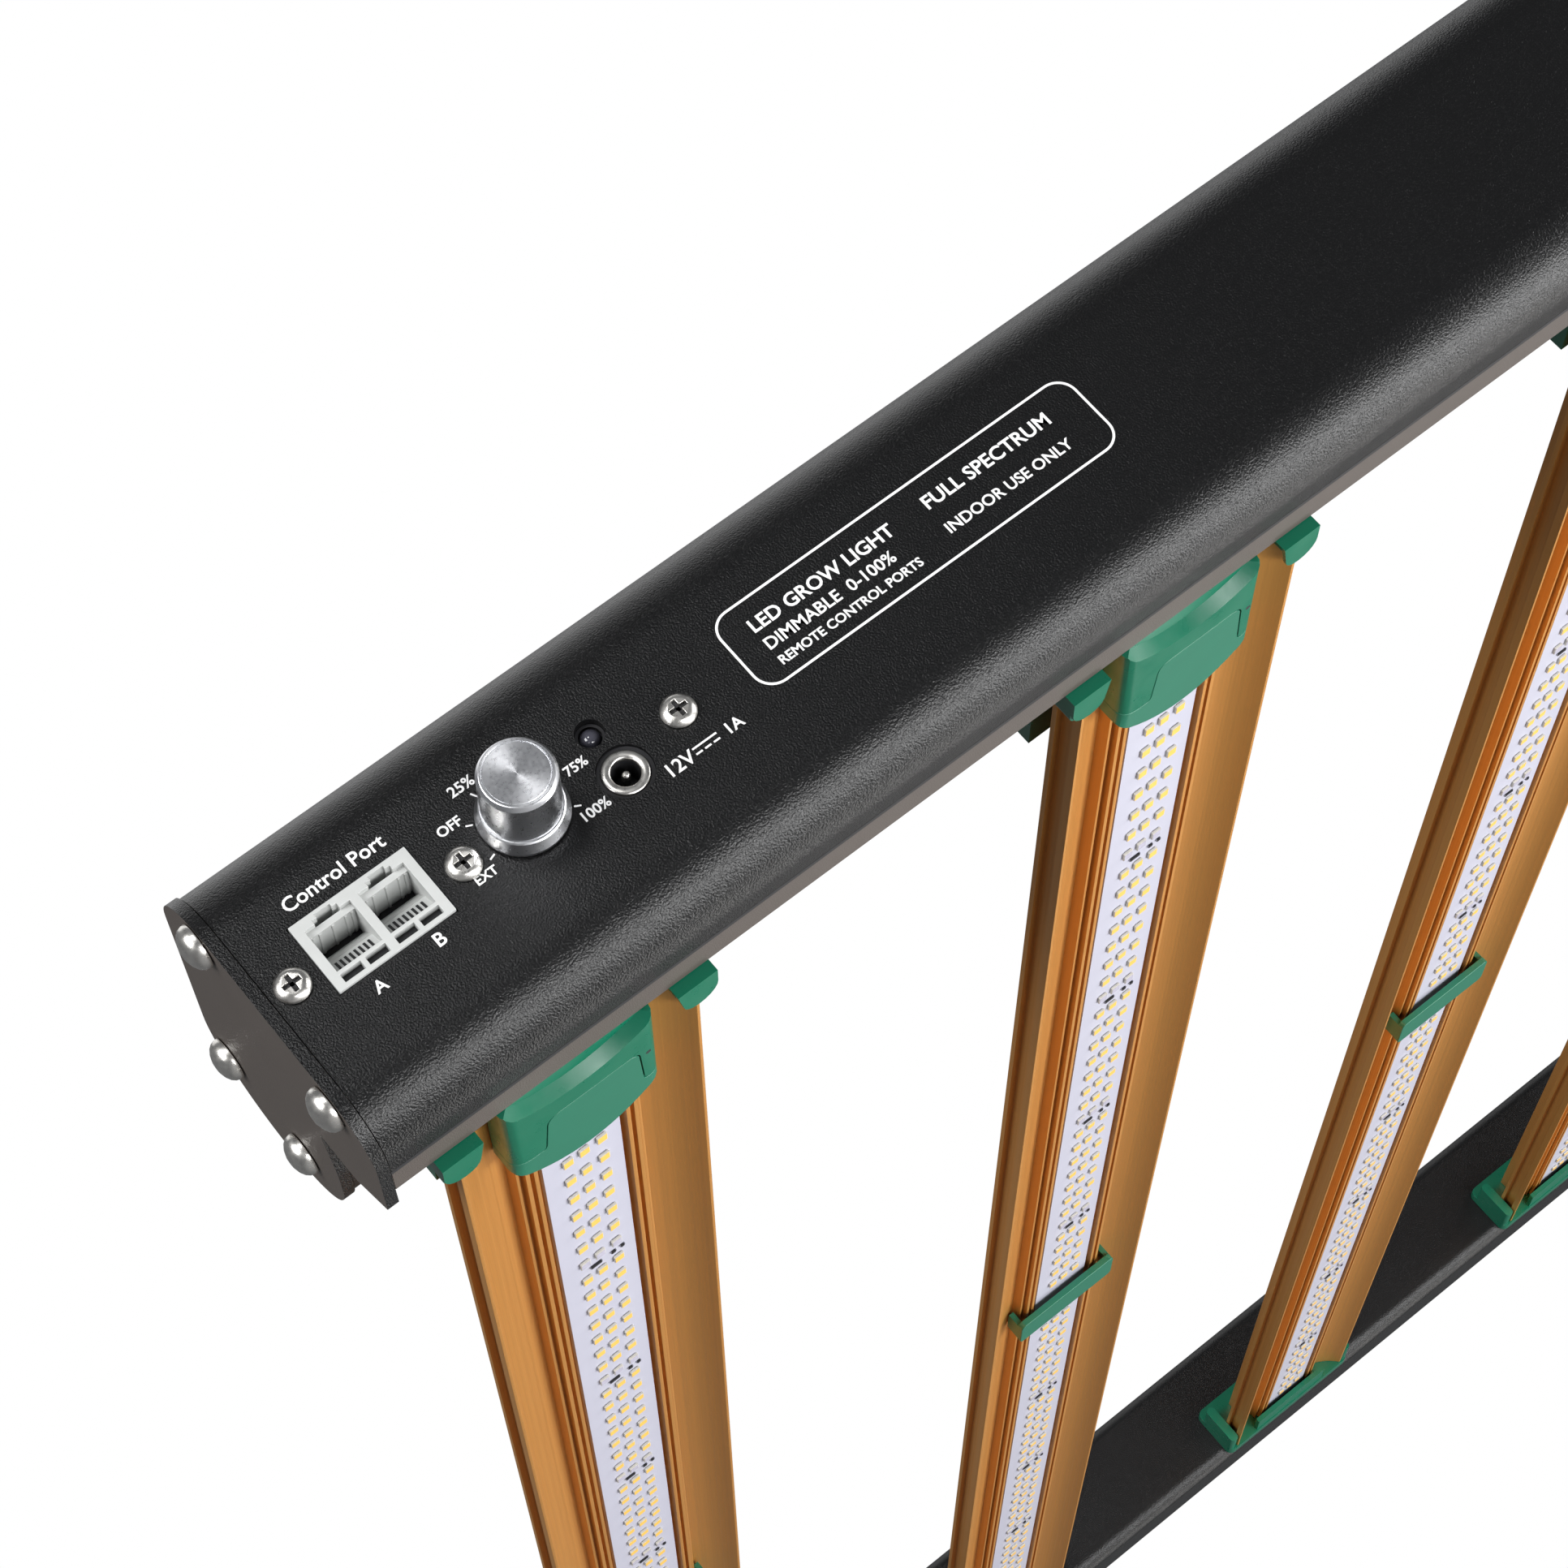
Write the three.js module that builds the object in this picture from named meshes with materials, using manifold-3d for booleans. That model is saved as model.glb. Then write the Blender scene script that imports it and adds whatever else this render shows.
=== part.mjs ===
// LED grow light: a driver housing with a control panel, light bars that plug in under its back edge,
// and a slim rail that carries the bars' far ends. Millimetres, +Z up, LEDs face down (-Z).
// X runs along the housing, Y along the bars. The origin is the middle of the housing's flat top.

import * as THREE from 'three';
import * as BufferGeometryUtils from 'three/addons/utils/BufferGeometryUtils.js';
import Module from 'manifold-3d';

const wasm = await Module();
wasm.setup();

// ---- driving dimensions -------------------------------------------------------------------------
const barCount = 6;
const barPitch = 178;
const barInset = 50.8; // end of the housing to the first bar's centre line
const halfLength = ((barCount - 1) * barPitch) / 2 + barInset;
const gap = 0.3; // between pieces that touch

// Housing section: y from the panel face, z down from the flat top.
const housingDepth = 103;
const underside = -54; // the bars hang below this level
const lipBack = 31;
const lipBottom = -78;
const wall = 2.6;
const topMiddle = 46.5; // y of the origin from the panel face
const seamY = 20; // shell ends and base cover begins
const cornerRadius = { frontTop: 20, backTop: 26.5, back: 27, front: 15 };
const plateThickness = 3;
const plateProud = 0.6; // end plates stand out round the shell
const bosses = [
  { at: [5.4, -16.2], foot: [1, -16.2] },
  { at: [82, -9.5], foot: [82, -1.5] },
  { at: [84, -38.5], foot: [98, -38.5] },
  { at: [5.4, -63.5], foot: [1, -63.5] },
];

// Control panel: x from the housing's end, z from its top.
const panelRow = -38.9;
const panelScrewX = [8.9, 53.6, 111.7];
const knobAt = [70.6, -37.4];
const ledAt = [93.5, -30.9];
const dcAt = [94, -43];
const jack = { x: 30.85, z: -37.1, width: 30.4, height: 18.8, portPitch: 13.97, portWidth: 11.7 };
const boardFront = 15;

// Light bars: z of the LED board's face, and the board.
const boardFace = -75.5;
const boardThickness = 1.6;
const boardHalf = 11.2;
const seat = boardFace + boardThickness;
const barHalf = 33;
const barStart = 32.8;
const barEnd = 1022;
const midClip = [521, 537];

// Sockets, latches and couplers.
const greenFace = -80.7; // LED-side face
const greenBack = -78.4; // its inner face, clear of the LEDs
const coverHalf = 20.7;
const coverSides = 64; // the cover's sides end here and its far edge curves out
const coverFarEdge = 74;
const socketDepth = 88; // how far the socket reaches under the housing
const earHalf = 37.5;
const earInside = barHalf + gap;

// Far rail: y and z limits.
const rail = { front: 1028, back: 1062, top: -30, bottom: -80, wall: 2.5 };

const xOf = (fromEnd) => fromEnd - halfLength;
const barX = (i) => xOf(barInset + i * barPitch);

// ---- materials ----------------------------------------------------------------------------------
const material = (color, roughness, metalness) =>
  new THREE.MeshStandardMaterial({ color, roughness, metalness });
const finish = {
  blackAnodised: material(0x2a2a2b, 0.45, 0.6),
  plate: material(0x6b625c, 0.5, 0.5),
  steel: material(0xd6d6d6, 0.25, 1),
  spunAluminium: material(0xc4c6c8, 0.3, 1),
  goldAnodised: material(0xc08a48, 0.35, 0.8),
  board: material(0xdcdcec, 0.5, 0),
  green: material(0x1e8a64, 0.35, 0),
  greyPlastic: material(0xc4c6c4, 0.5, 0),
  blackPlastic: material(0x18181a, 0.5, 0),
  clearLens: material(0x33363a, 0.1, 0),
  circuit: material(0x1f5a3a, 0.5, 0),
};

// ---- helpers ------------------------------------------------------------------------------------
// A closed outline from corners [a, b, radius]; round corners follow the arc within the tolerance.
function outline(corners, tolerance = 0.08) {
  const points = [];
  const at = (i) => new THREE.Vector2(...corners[(i + corners.length) % corners.length]);
  corners.forEach(([a, b, radius = 0], i) => {
    const corner = new THREE.Vector2(a, b);
    if (!radius) {
      points.push(corner);
      return;
    }
    const back = at(i - 1).sub(corner).normalize();
    const ahead = at(i + 1).sub(corner).normalize();
    const half = Math.acos(back.dot(ahead)) / 2;
    const centre = back.clone().add(ahead).setLength(radius / Math.sin(half)).add(corner);
    const cut = radius / Math.tan(half);
    const first = back.multiplyScalar(cut).add(corner).sub(centre);
    const last = ahead.multiplyScalar(cut).add(corner).sub(centre);
    const sweep = Math.atan2(first.cross(last), first.dot(last));
    const steps = Math.max(1, Math.ceil(Math.abs(sweep) / (2 * Math.acos(1 - tolerance / radius))));
    for (let k = 0; k <= steps; k++) {
      points.push(first.clone().rotateAround(new THREE.Vector2(), (sweep * k) / steps).add(centre));
    }
  });
  return new THREE.Shape(points);
}

const rectangle = (a0, a1, b0, b1, radius = 0) =>
  outline([[a0, b0, radius], [a1, b0, radius], [a1, b1, radius], [a0, b1, radius]]);

const axes = {
  x: new THREE.Matrix4().set(0, 0, 1, 0, 1, 0, 0, 0, 0, 1, 0, 0, 0, 0, 0, 1), // outline in (y, z)
  y: new THREE.Matrix4().set(1, 0, 0, 0, 0, 0, -1, 0, 0, 1, 0, 0, 0, 0, 0, 1), // outline in (x, z)
  z: new THREE.Matrix4(), // outline in (x, y)
};

function extrude(shape, axis, from, to) {
  const geometry = new THREE.ExtrudeGeometry(shape, { depth: to - from, bevelEnabled: false });
  geometry.translate(0, 0, axis === 'y' ? -to : from);
  return geometry.applyMatrix4(axes[axis]);
}

const block = (x0, x1, y0, y1, z0, z1) => extrude(rectangle(x0, x1, y0, y1), 'z', z0, z1);

function cylinder(axis, a, b, radius, from, to, sides = 32) {
  const shape = new THREE.Shape();
  for (let k = 0; k < sides; k++) {
    const angle = (2 * Math.PI * k) / sides;
    const point = [a + radius * Math.cos(angle), b + radius * Math.sin(angle)];
    if (k) shape.lineTo(...point);
    else shape.moveTo(...point);
  }
  return extrude(shape, axis, from, to);
}

// A turned piece from [radius, distance along the axis] pairs that start and end on the axis.
function turned(profile, axis, sides = 32) {
  const points = profile.map(([radius, along]) => new THREE.Vector2(radius, along));
  if (points[0].y < points.at(-1).y !== (axis === 'y')) points.reverse();
  const geometry = new THREE.LatheGeometry(points, sides);
  return axis === 'x' ? geometry.rotateZ(-Math.PI / 2) : geometry;
}

function solid(geometry) {
  const bare = geometry.clone();
  bare.deleteAttribute('normal');
  bare.deleteAttribute('uv');
  const merged = BufferGeometryUtils.mergeVertices(bare, 1e-4);
  const corners = merged.index.array;
  const triangles = [];
  for (let k = 0; k < corners.length; k += 3) {
    const [a, b, c] = corners.slice(k, k + 3);
    if (a !== b && b !== c && c !== a) triangles.push(a, b, c);
  }
  const build = (list) =>
    new wasm.Manifold(
      new wasm.Mesh({
        numProp: 3,
        vertProperties: new Float32Array(merged.attributes.position.array),
        triVerts: new Uint32Array(list),
      }),
    );
  const built = build(triangles);
  if (built.volume() > 0) return built;
  for (let k = 0; k < triangles.length; k += 3) {
    [triangles[k], triangles[k + 1]] = [triangles[k + 1], triangles[k]];
  }
  return build(triangles);
}

const union = (...geometries) => geometries.map(solid).reduce((a, b) => a.add(b));
const cut = (body, ...geometries) => geometries.map(solid).reduce((a, b) => a.subtract(b), body);

function toGeometry(manifold) {
  const mesh = manifold.getMesh();
  const geometry = new THREE.BufferGeometry();
  geometry.setAttribute('position', new THREE.BufferAttribute(mesh.vertProperties, 3));
  geometry.setIndex(new THREE.BufferAttribute(mesh.triVerts, 1));
  geometry.computeVertexNormals();
  return geometry;
}

const light = new THREE.Group();
const assembly = new THREE.Group();
assembly.position.y = -topMiddle;
light.add(assembly);

function add(name, shape, surface, x = 0, y = 0, z = 0) {
  const closed = shape instanceof THREE.BufferGeometry ? solid(shape) : shape;
  const mesh = new THREE.Mesh(toGeometry(closed), surface);
  mesh.name = name;
  mesh.position.set(x, y, z);
  assembly.add(mesh);
}

// ---- driver housing -----------------------------------------------------------------------------
function housingSection(inset) {
  const { frontTop, backTop, back, front } = cornerRadius;
  return outline([
    [inset, -inset, frontTop - inset],
    [housingDepth - inset, -inset, backTop - inset],
    [housingDepth - inset, underside + inset, back - inset],
    [lipBack - inset, underside + inset],
    [lipBack - inset, lipBottom + inset],
    [inset, lipBottom + inset, front - inset],
  ], 0.03);
}

function housingShell() {
  const end = halfLength - plateThickness - gap;
  let shell = cut(
    solid(extrude(housingSection(0), 'x', -end, end)),
    extrude(housingSection(wall), 'x', -end - 1, end + 1),
    block(-end - 1, end + 1, seamY, lipBack + 5, lipBottom - 5, underside),
  );
  for (const { at, foot } of bosses) {
    const [y0, y1] = [at[0], foot[0]].sort((a, b) => a - b);
    const [z0, z1] = [at[1], foot[1]].sort((a, b) => a - b);
    const web = y0 === y1 ? [y0 - 1.5, y1 + 1.5, z0, z1] : [y0, y1, z0 - 1.5, z1 + 1.5];
    shell = shell.add(union(cylinder('x', ...at, 4.2, -end, end, 16), block(-end, end, ...web)));
  }
  shell = cut(shell, ...bosses.map(({ at }) => cylinder('x', ...at, 2.2, -end - 1, end + 1, 16)));
  const hole = (x, z, radius) => cylinder('y', xOf(x), z, radius, -5, 6);
  const jackHole = rectangle(
    xOf(jack.x - jack.width / 2) - gap,
    xOf(jack.x + jack.width / 2) + gap,
    jack.z - jack.height / 2 - gap,
    jack.z + jack.height / 2 + gap,
  );
  return cut(
    shell,
    ...panelScrewX.map((x) => hole(x, panelRow, 1.8)),
    hole(...knobAt, 3.9),
    hole(...ledAt, 3.5),
    hole(...dcAt, 6.6),
    extrude(jackHole, 'y', -5, 6),
  );
}

function baseCover() {
  const inside = lipBack - wall;
  const section = outline([
    [seamY + 0.6, lipBottom],
    [lipBack, lipBottom, 0.6],
    [lipBack, underside - gap],
    [inside, underside - gap],
    [inside, lipBottom + wall],
    [seamY + 0.6, lipBottom + wall],
  ]);
  const end = halfLength - plateThickness - gap;
  return extrude(section, 'x', -end, end);
}

function endPlate(side, holes) {
  const p = plateProud;
  const { frontTop, backTop, back, front } = cornerRadius;
  const shape = outline([
    [-p, p, frontTop + p],
    [housingDepth + p, p, backTop + p],
    [housingDepth + p, underside - p, back + p],
    [66, underside - p, 10],
    [46, -51.5, 0.8],
    [46, -65, 8],
    [36.5, lipBottom - p, 0.8],
    [-p, lipBottom - p, front + p],
  ], 0.03);
  const faces = [side * halfLength, side * (halfLength - plateThickness)].sort((a, b) => a - b);
  const drill = ([y, z, radius]) => cylinder('x', y, z, radius, faces[0] - 1, faces[1] + 1, 24);
  return cut(solid(extrude(shape, 'x', ...faces)), ...holes.map(drill));
}

function domeScrew() {
  const dome = [];
  for (let k = 0; k <= 5; k++) {
    const angle = (k / 5) * (Math.PI / 2);
    dome.push([5.5 * Math.sin(angle), -0.8 - 3.4 * Math.cos(angle)]);
  }
  const profile = [...dome, [5.5, 0], [1.9, 0], [1.9, 13], [0, 13]];
  return turned(profile, 'x', 24);
}

function panHeadScrew() {
  const profile = [
    [0, -1.9], [2.7, -1.9], [3.3, -1.6], [3.9, -1], [4.2, -0.4], [4.2, 0], [1.4, 0], [1.4, 9], [0, 9],
  ];
  const slot = (a, b) => block(-a, a, -3, -0.7, -b, b);
  return cut(solid(turned(profile, 'y', 24)), slot(2.2, 0.55), slot(0.55, 2.2));
}

const bossHoles = bosses.map(({ at }) => [...at, 2.2]);
const inletAt = [44, -30];
add('housing_shell', housingShell(), finish.blackAnodised);
add('base_cover', baseCover(), finish.plate);
add('end_plate_left', endPlate(-1, bossHoles), finish.plate);
add('end_plate_right', endPlate(1, [...bossHoles, [...inletAt, 10.3]]), finish.plate);
bosses.forEach(({ at }, i) => {
  add(`end_screw_${i + 1}`, domeScrew(), finish.steel, -halfLength - gap, ...at);
});

// ---- control panel ------------------------------------------------------------------------------
function controlJack() {
  const { width, height, portPitch, portWidth } = jack;
  let body = solid(block(-width / 2, width / 2, -0.8, boardFront - gap, -height / 2, height / 2));
  const top = height / 2 - 2.8;
  const cavity = outline([[-2, top], [11.5, top], [11.5, -0.4], [4.6, -0.4], [1.8, -5.2], [-2, -5.2]]);
  for (const x of [-portPitch / 2, portPitch / 2]) {
    const half = portWidth / 2;
    body = cut(
      body,
      extrude(cavity, 'x', x - half, x + half),
      block(x - 3.2, x + 3.2, -2, 9, top - 0.1, top + 1.1),
      block(x - 2, x + 2, -2, 9, top + 1, top + 2),
      block(x - half, x - 0.6, -2, 2, -8.3, -6.1),
      block(x + 0.6, x + half, -2, 2, -8.3, -6.1),
    );
  }
  return body;
}

function dcJack() {
  const profile = [
    [0, 1.6], [0.7, 1.6], [1.05, 2], [1.05, 9.8], [3.4, 9.8], [3.4, 0.8], [3.8, 0.3],
    [5.1, 0.3], [5.5, 0.7], [5.5, boardFront - gap], [0, boardFront - gap],
  ];
  return turned(profile, 'y');
}

function statusLed() {
  const back = 12;
  return turned([[0, 1], [1.1, 1.3], [2, 2.1], [2.45, 3.4], [2.45, back - 1], [2.9, back - 1], [2.9, back], [0, back]], 'y', 24);
}

function dimmerPot() {
  const body = union(
    block(-8.5, 8.5, 4.6, 13.5, -9, 9),
    cylinder('y', 0, 0, 3.6, -2.4, 4.7, 32),
    cylinder('y', 0, 0, 5.4, -2.3, -gap, 6),
  );
  return cut(body, cylinder('y', 0, 0, 3.12, -4, 10, 32));
}

function dimmerKnob() {
  const profile = [
    [0, 9.5], [3, 9.5], [3, -3.6], [6.8, -3.6], [6.8, -0.7], [10.4, -0.7], [10.5, -1.9], [9.3, -4.9],
    [8.9, -5.2], [8.9, -19.3], [8.1, -20.3], [0, -20.3],
  ];
  return turned(profile, 'y', 36);
}

function controlBoard() {
  const plate = block(xOf(5), xOf(118), boardFront, boardFront + 1.6, -62, -22);
  const posts = panelScrewX.map((x) => cylinder('y', xOf(x), panelRow, 3, wall + gap, boardFront + 0.5, 20));
  const pilots = panelScrewX.map((x) => cylinder('y', xOf(x), panelRow, 1.7, 0, boardFront - 2, 20));
  return cut(union(plate, ...posts), ...pilots);
}

panelScrewX.forEach((x, i) => {
  add(`panel_screw_${i + 1}`, panHeadScrew(), finish.steel, xOf(x), -gap, panelRow);
});
add('control_jack', controlJack(), finish.greyPlastic, xOf(jack.x), 0, jack.z);
add('dc_jack', dcJack(), finish.steel, xOf(dcAt[0]), 0, dcAt[1]);
add('status_led', statusLed(), finish.clearLens, xOf(ledAt[0]), 0, ledAt[1]);
add('dimmer_pot', dimmerPot(), finish.blackPlastic, xOf(knobAt[0]), 0, knobAt[1]);
add('dimmer_knob', dimmerKnob(), finish.spunAluminium, xOf(knobAt[0]), 0, knobAt[1]);
add('control_board', controlBoard(), finish.circuit);

// ---- inside and on the far end of the housing -----------------------------------------------------
const driverSection = rectangle(18, 72, -48, -6, 3);
add('driver_module', extrude(driverSection, 'x', -340, 340), finish.blackPlastic);

function mainsInlet() {
  const body = solid(
    turned([[0, -12], [9.8, -12], [9.8, gap], [14, gap], [14, 3], [10, 3.6], [10, 16], [7.4, 16], [7.4, 2], [0, 2]], 'x'),
  );
  const pins = [90, 210, 330].map((degrees) => {
    const angle = THREE.MathUtils.degToRad(degrees);
    return solid(cylinder('x', 5 * Math.cos(angle), 5 * Math.sin(angle), 1, 1, 9, 12));
  });
  return pins.reduce((a, b) => a.add(b), body);
}
add('mains_inlet', mainsInlet(), finish.blackPlastic, halfLength, ...inletAt);

// ---- light bars ---------------------------------------------------------------------------------
// One half of the bar's section as [x, height above the LED board's seat].
function halfSection() {
  const reflector = new THREE.QuadraticBezierCurve(
    new THREE.Vector2(18.2, 2.6),
    new THREE.Vector2(26.5, 0.9),
    new THREE.Vector2(32.2, -5.7),
  );
  return [
    [11.3, 0], [11.3, 1.4], [12.7, 1.4], [12.7, -2.4], [13.8, -2.4], [13.8, -0.4], [14.9, -0.4],
    [14.9, -2.4], [16, -2.4], [16, 0.3], [16.9, 0.3], [16.9, -0.9], [17.7, -0.9],
    ...reflector.getPoints(12).map((p) => [p.x, p.y]),
    [33, -5.7], [barHalf, -3], [30.8, -3], [30.8, 2.4], [barHalf, 2.4], [barHalf, 4], [29.4, 4], [29.4, -0.6],
    [25, 2.9], [22.6, 3.9],
    [22.6, 12], [21.2, 12], [21.2, 4.4], [18, 5], [15.7, 5],
    [15.7, 12], [14.3, 12], [14.3, 4], [8.2, 4],
    [8.2, 12], [6.8, 12], [6.8, 4],
  ];
}

function lightBar() {
  const half = halfSection();
  const mirrored = half.map(([x, z]) => [-x, z]).reverse();
  const points = [...half, ...mirrored].map(([x, z]) => new THREE.Vector2(x, z + seat));
  return extrude(new THREE.Shape(points), 'y', barStart, barEnd);
}

// The cover on the LED side, straight along the housing and curved over the board.
function coverOutline() {
  const bulge = new THREE.QuadraticBezierCurve(
    new THREE.Vector2(coverHalf - 0.8, coverSides + 1.4),
    new THREE.Vector2(0, 2 * coverFarEdge - coverSides - 1.4),
    new THREE.Vector2(0.8 - coverHalf, coverSides + 1.4),
  );
  const curve = bulge.getPoints(14).map((p) => [p.x, p.y]);
  return outline([[-coverHalf, socketFront], [coverHalf, socketFront], [coverHalf, coverSides], ...curve, [-coverHalf, coverSides]]);
}

// The line between socket and latch; both pieces stop half a gap short of it.
function latchRegion(margin) {
  const m = margin;
  return outline([
    [-30, 55.5 + m], [-15 + m, 60.4 + m, 1.2], [-11.6 + m, 60.4 + m, 1.2], [-10.2 + m, 45.4 + m, 3.2],
    [15.2 - m, 45.4 + m, 2.6], [16 - m, 61.8 + m, 1.2], [30, 61.8 + m], [30, 100], [-30, 100],
  ]);
}

const socketFront = lipBack + gap;
const wingTop = seat + 1.3; // side walls of the covers stop just short of the wings
const frontFloor = -77.6; // LED-side face of the cover next to the housing

// A cone whose side leaves the crescent along the cover's near edge.
function crescent() {
  const [radius, slope, rise] = [37, 0.6, frontFloor - greenFace];
  const cone = new THREE.CylinderGeometry(radius - slope * rise, radius + slope, rise + 1, 120);
  return cone.rotateX(Math.PI / 2).translate(0, 1.2, frontFloor - (rise + 1) / 2);
}

function ear(side) {
  const reach = 42;
  const hook = [[26.5, socketFront], [earHalf, socketFront], [earHalf, reach, 5.2], [28.5, reach, 4]];
  const post = [[earInside, socketFront], [earHalf, socketFront], [earHalf, reach, 3], [earInside, reach]];
  const body = union(
    extrude(outline(hook), 'z', greenFace - 0.3, seat - 6),
    extrude(outline(post), 'z', seat - 6.1, underside - gap),
    block(26.5, earInside + 0.1, socketFront, barStart - gap, seat - 6.1, -73.4),
    block(30, earInside + 0.1, socketFront, reach, seat + 12 + gap, underside - gap),
  );
  return side > 0 ? body : body.mirror([1, 0, 0]);
}

function sideWalls(from, to, bottom) {
  const wall = block(coverHalf - 2, coverHalf, from, to, bottom, wingTop);
  return solid(wall).add(solid(wall).mirror([1, 0, 0]));
}

// A shallow channel with rounded corners, cut to the cover's outline.
function cover() {
  const channel = outline([
    [-coverHalf, wingTop], [-coverHalf, greenFace, 3], [coverHalf, greenFace, 3], [coverHalf, wingTop],
    [coverHalf - 2, wingTop], [coverHalf - 2, greenBack], [2 - coverHalf, greenBack], [2 - coverHalf, wingTop],
  ]);
  const length = extrude(channel, 'y', socketFront, coverFarEdge + 1);
  return solid(length).intersect(solid(extrude(coverOutline(), 'z', greenFace - 1, wingTop + 1)));
}

const latchSpace = (margin) => extrude(latchRegion(margin), 'z', greenFace - 1, wingTop + 1);

function barSocket() {
  const near = block(1 - coverHalf, coverHalf - 1, socketFront, 42, greenBack - 0.1, -76.6);
  const covered = cut(cover().add(solid(near)), crescent(), latchSpace(-gap / 2));
  const frame = union(
    block(-earInside, earInside, socketFront, barStart - gap, -74, underside - gap),
    block(-31, 31, socketFront, socketDepth, seat + 12 + gap, underside - gap),
    block(-coverHalf, coverHalf, socketFront, barStart - gap, -76.7, -73.4),
  );
  return covered.add(frame).add(ear(-1)).add(ear(1));
}

const barLatch = () => cover().intersect(solid(latchSpace(gap / 2)));

// Holds the ends of the two LED boards that meet halfway along a bar.
function boardClip() {
  const [from, to] = midClip;
  const plate = extrude(rectangle(-coverHalf, coverHalf, from, to, 2), 'z', greenFace + 0.9, greenBack + 0.9);
  return solid(plate).add(sideWalls(from + 2, to - 2, greenBack + 0.8));
}

function farCoupler() {
  const from = barEnd + gap;
  const arm = (a, b) => extrude(rectangle(a, b, -79.5, -60, 1.8), 'y', barEnd - 14, from + 0.1);
  return union(
    extrude(rectangle(-earHalf, earHalf, -80.3, -56, 3), 'y', from, rail.front - gap),
    arm(earInside, earHalf),
    arm(-earHalf, -earInside),
    extrude(rectangle(-coverHalf, coverHalf, -79.8, greenBack + 0.9, 0.4), 'y', barEnd - 12, from + 0.1),
  );
}

const ledBoard = block(-boardHalf, boardHalf, barStart + 0.5, barEnd - 0.5, boardFace, seat);
const barPieces = {
  light_bar: [lightBar(), finish.goldAnodised],
  led_board: [ledBoard, finish.board],
  bar_socket: [barSocket(), finish.green],
  bar_latch: [barLatch(), finish.green],
  board_clip: [boardClip(), finish.green],
  far_coupler: [farCoupler(), finish.green],
};
for (let i = 0; i < barCount; i++) {
  for (const [name, [shape, surface]] of Object.entries(barPieces)) {
    add(`${name}_${i + 1}`, shape, surface, barX(i));
  }
}

// ---- far rail and hangers -------------------------------------------------------------------------
function farRail() {
  const { front, back, top, bottom, wall: t } = rail;
  const tube = solid(extrude(rectangle(front, back, bottom, top, 6), 'x', -halfLength, halfLength));
  const bore = rectangle(front + t, back - t, bottom + t, top - t, 6 - t);
  return cut(tube, extrude(bore, 'x', -halfLength - 1, halfLength + 1));
}
add('far_rail', farRail(), finish.blackAnodised);

// A steel plate that stands behind the housing or the rail, with an eye above it for the hanging hook.
const hangerX = 300;
const hangerLength = 62;
function hanger() {
  const plate = rectangle(-13, 13, -hangerLength, 0, 8);
  const eye = cylinder('y', 0, -11, 5, -1, 4, 20);
  return cut(solid(extrude(plate, 'y', 0, 2.5)), eye, cylinder('y', 0, 16 - hangerLength, 2.2, -1, 4, 12));
}
const hangerPlaces = { front: [housingDepth + gap, 14], back: [rail.back + gap, rail.top + 14] };
for (const [place, [y, z]] of Object.entries(hangerPlaces)) {
  add(`hanger_${place}_left`, hanger(), finish.steel, -hangerX, y, z);
  add(`hanger_${place}_right`, hanger(), finish.steel, hangerX, y, z);
}

export default light;
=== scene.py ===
"""Looks of the LED grow light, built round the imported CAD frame."""

import math
import random

import bmesh
import bpy
from mathutils import Matrix, Vector


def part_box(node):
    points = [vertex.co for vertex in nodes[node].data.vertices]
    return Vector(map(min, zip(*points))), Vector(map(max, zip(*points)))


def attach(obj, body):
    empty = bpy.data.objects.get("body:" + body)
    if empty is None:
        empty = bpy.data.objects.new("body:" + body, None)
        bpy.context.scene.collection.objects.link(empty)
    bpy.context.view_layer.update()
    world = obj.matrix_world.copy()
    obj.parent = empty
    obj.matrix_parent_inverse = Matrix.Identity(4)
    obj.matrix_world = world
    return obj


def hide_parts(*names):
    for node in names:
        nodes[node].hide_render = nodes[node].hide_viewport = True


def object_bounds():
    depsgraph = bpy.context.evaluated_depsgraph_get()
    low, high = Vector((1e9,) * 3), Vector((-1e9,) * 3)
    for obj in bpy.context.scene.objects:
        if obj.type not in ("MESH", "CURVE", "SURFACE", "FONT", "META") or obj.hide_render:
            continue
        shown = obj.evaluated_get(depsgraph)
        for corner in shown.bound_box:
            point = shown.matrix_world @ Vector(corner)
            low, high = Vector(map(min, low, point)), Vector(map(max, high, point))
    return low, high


MM = 0.001
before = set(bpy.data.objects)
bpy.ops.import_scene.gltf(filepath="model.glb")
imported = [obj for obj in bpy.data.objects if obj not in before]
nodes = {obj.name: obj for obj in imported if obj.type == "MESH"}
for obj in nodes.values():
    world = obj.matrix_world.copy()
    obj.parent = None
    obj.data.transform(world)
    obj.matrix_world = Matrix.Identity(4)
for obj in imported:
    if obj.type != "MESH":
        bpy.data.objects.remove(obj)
cad_bounds = [list(corner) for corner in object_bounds()]
random.seed(4)

BARS = sum(name.startswith("light_bar_") for name in nodes)
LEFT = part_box("end_plate_left")[0].x
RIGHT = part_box("end_plate_right")[1].x
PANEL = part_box("housing_shell")[0].y


def on_panel(x, z, out=0.0):
    """A point on the panel: x mm from the left end, z mm from the top (down is negative), mm proud."""
    return Vector((LEFT + x * MM, PANEL - out * MM, z * MM))


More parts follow.
